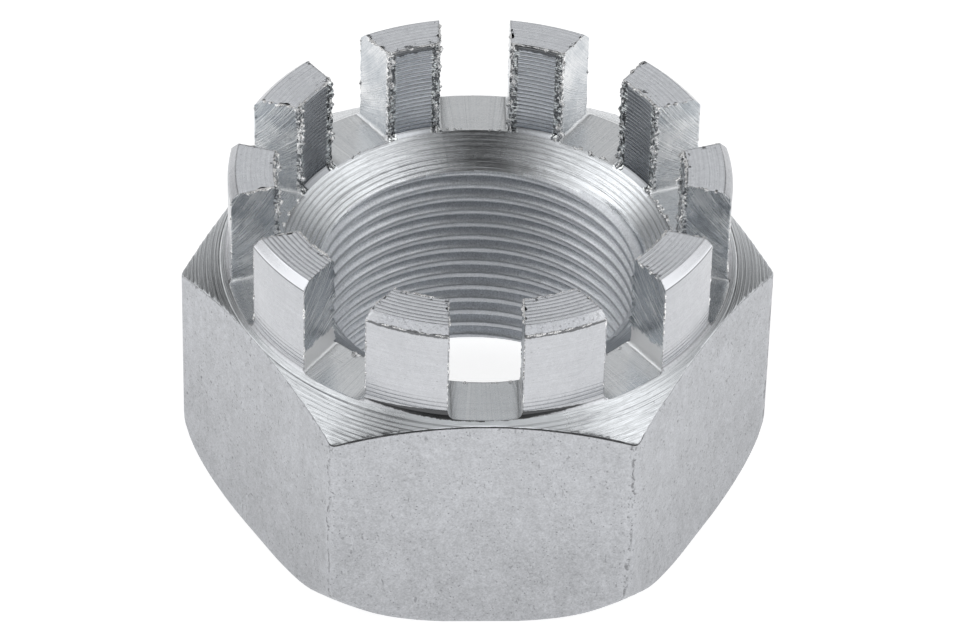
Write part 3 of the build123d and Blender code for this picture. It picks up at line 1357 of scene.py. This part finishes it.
def torn_edge_finish():
    """The burrs: freshly torn bright metal with black holes in it."""
    steel = Finish("torn_edge", colour=(0.78, 0.795, 0.82), roughness=0.3, specks=1.0)
    zinc = steel.zinc
    holes = steel.place.noise(3.2, 3.0, 0.75).ramp(0.54, 0.61)
    steel.paint(1.4 * zinc.grain - 0.5 * zinc.specks + 0.05, 0.4, black=0.75 * holes)
    steel.roughen(0.5 * zinc.grain)
    steel.emboss(0.04 * zinc.grain - 0.06 * holes)
    return steel.material


# The finishes of the nut, in the order of its material slots, and those of the burrs.
NUT_FINISHES = {
    "forged_flat": forged_flat_finish,
    "turned_cone": turned_cone_finish,
    "turned_side": turned_side_finish,
    "turned_top": turned_top_finish,
    "bored_well": bored_well_finish,
    "milled_slot": milled_slot_finish,
    "cut_thread": cut_thread_finish,
    "faced_bearing": faced_bearing_finish,
}
BURR_FINISHES = {"torn_edge": torn_edge_finish}


def make_camera():
    """The camera at the photograph's viewing angle, a long lens from above and in front."""
    turn = math.radians(CAMERA_AZIMUTH)
    rise = math.radians(CAMERA_ELEVATION)
    roll = math.radians(CAMERA_ROLL)
    back = Vector((math.sin(turn) * math.cos(rise), -math.cos(turn) * math.cos(rise), math.sin(rise)))
    level = Vector((math.cos(turn), math.sin(turn), 0.0))
    upright = back.cross(level)
    right = level * math.cos(roll) + upright * math.sin(roll)
    up = upright * math.cos(roll) - level * math.sin(roll)
    place = Vector((0.0, 0.0, SLOT_FLOOR)) + back * CAMERA_DISTANCE + right * CAMERA_RIGHT - up * CAMERA_DOWN
    data = bpy.data.cameras.new("camera")
    data.lens = CAMERA_LENS
    data.sensor_width = 36.0
    camera = new_object(data)
    camera.matrix_world = Matrix.Translation(place * MM) @ Matrix((right, up, back)).transposed().to_4x4()
    bpy.context.scene.camera = camera


def white_table_material():
    """Plain grey that takes the nut's shadow, with a glow that the camera and the metal see as white."""
    material = bpy.data.materials.new("white_table")
    material.use_nodes = True
    material.node_tree.nodes.clear()
    nodes = Nodes(material.node_tree)
    ray = Fields(nodes, nodes.place("LightPath"))
    seen = ray.is_camera_ray.at_least(ray.is_glossy_ray).at_least(ray.is_transmission_ray)
    diffuse = nodes.field("BsdfDiffuse", {"Color": (0.5, 0.5, 0.5, 1.0)})
    glow = nodes.field("Emission", {"Strength": seen * FLOOR_GLOW})
    both = nodes.field("AddShader", {0: diffuse, 1: glow})
    nodes.join(both, nodes.place("OutputMaterial").inputs[0])
    return material


def make_floor():
    """The plain white table."""
    data = bpy.data.meshes.new("table")
    reach = FLOOR_REACH
    corners = [(-reach, -reach, 0), (reach, -reach, 0), (reach, reach, 0), (-reach, reach, 0)]
    data.from_pydata(corners, [], [(0, 1, 2, 3)])
    data.materials.append(white_table_material())
    floor = new_object(data)


def make_world():
    """The studio: a pale horizon and a few broad soft lights to the sides and behind."""
    world = bpy.data.worlds.new("studio")
    bpy.context.scene.world = world
    world.use_nodes = True
    nodes = Nodes(world.node_tree)
    looking = nodes.field("TexCoord", {}, "Generated")
    strength = looking.parts()[2].ramp(HORIZON_TOP, 0.0, 0.0, HORIZON_GLOW)
    for azimuth, elevation, breadth, power in STUDIO_LIGHTS:
        turn, rise = math.radians(azimuth), math.radians(elevation)
        way = (math.cos(turn) * math.cos(rise), math.sin(turn) * math.cos(rise), math.sin(rise))
        dot = nodes.field("VectorMath", {0: looking, 1: way}, "Value", operation="DOT_PRODUCT")
        fall = 0.7 / (1.0 - math.cos(math.radians(breadth)))
        strength = nodes.math("EXPONENT", (dot - 1.0) * fall) * power + strength
    background = world.node_tree.nodes["Background"].inputs
    nodes.join(strength, background["Strength"])
    background["Color"].default_value = (1.0, 1.0, 1.0, 1.0)


# Main
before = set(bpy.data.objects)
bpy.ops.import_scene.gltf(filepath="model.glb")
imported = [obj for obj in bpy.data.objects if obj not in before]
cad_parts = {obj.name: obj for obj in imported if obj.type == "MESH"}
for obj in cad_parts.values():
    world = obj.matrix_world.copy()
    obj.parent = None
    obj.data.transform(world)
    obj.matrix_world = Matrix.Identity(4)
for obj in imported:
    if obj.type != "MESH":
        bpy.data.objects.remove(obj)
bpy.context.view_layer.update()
make_camera()
make_floor()
make_world()
make_groups()
build_nut()
build_burrs()
bpy.context.scene.view_settings.view_transform = "Standard"
